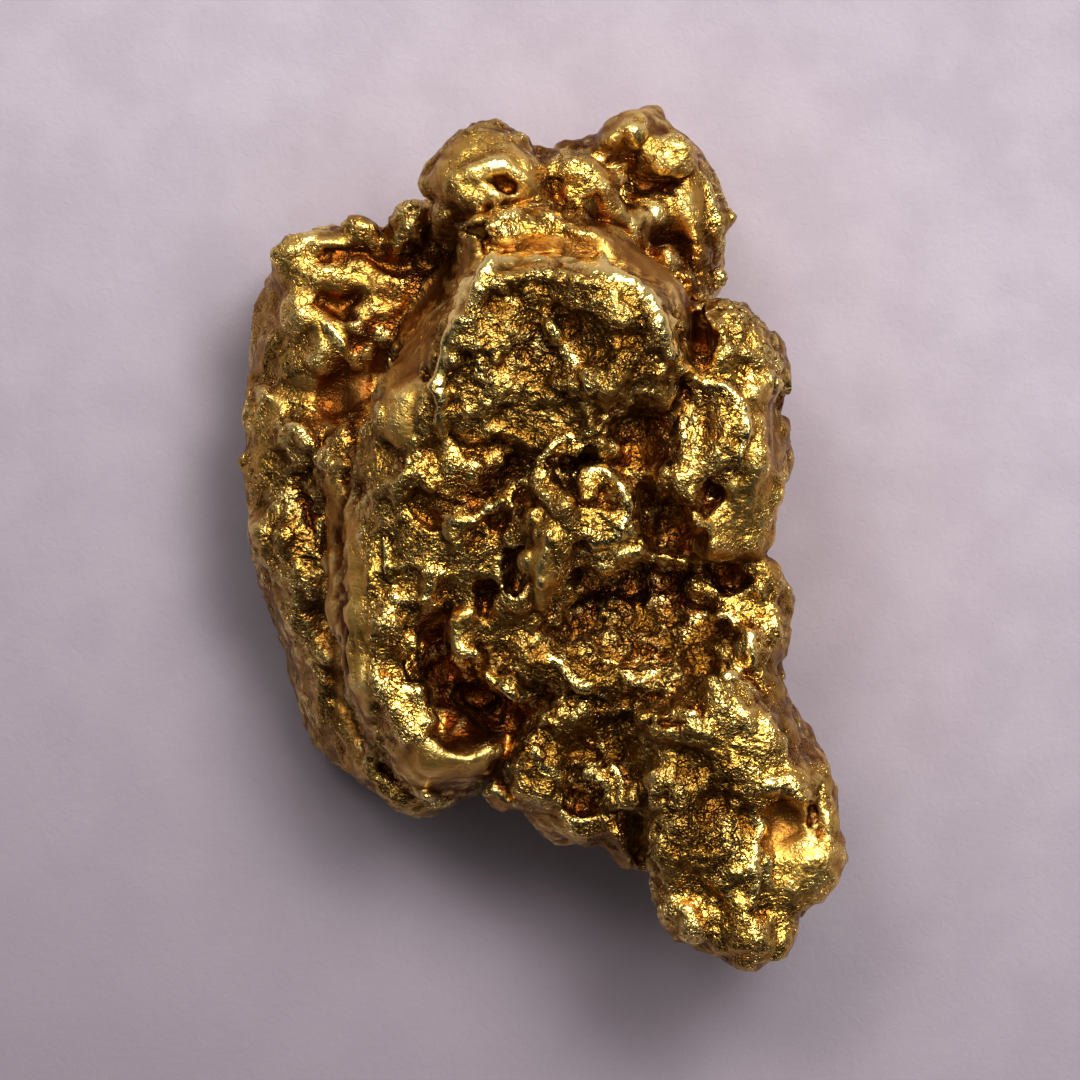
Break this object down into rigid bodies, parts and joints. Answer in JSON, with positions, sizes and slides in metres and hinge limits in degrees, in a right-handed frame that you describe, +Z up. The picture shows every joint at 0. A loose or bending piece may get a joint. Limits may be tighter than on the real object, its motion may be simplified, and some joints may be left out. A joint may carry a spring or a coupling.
{
  "type": "gold nugget",
  "caption": "Natural gold nugget: a lumpy, worn piece with a raised crown, curled folds, pits, a hollow basin and an overhanging tail.",
  "frame": {"origin": "on the surface the nugget rests on, under the middle of its outline seen from above", "axes": "+Z up, away from the worn resting side; +Y along the nugget's length, from the tail to the back"},
  "size_m": [0.0083, 0.0119, 0.0055],
  "materials": {
    "native_gold": "native gold, naturally worn: bright on rims and ledges, finely pitted on the tops, darker orange in the hollows"
  },
  "bodies": {
    "root": {"nugget": "native_gold"}
  },
  "joints": []
}
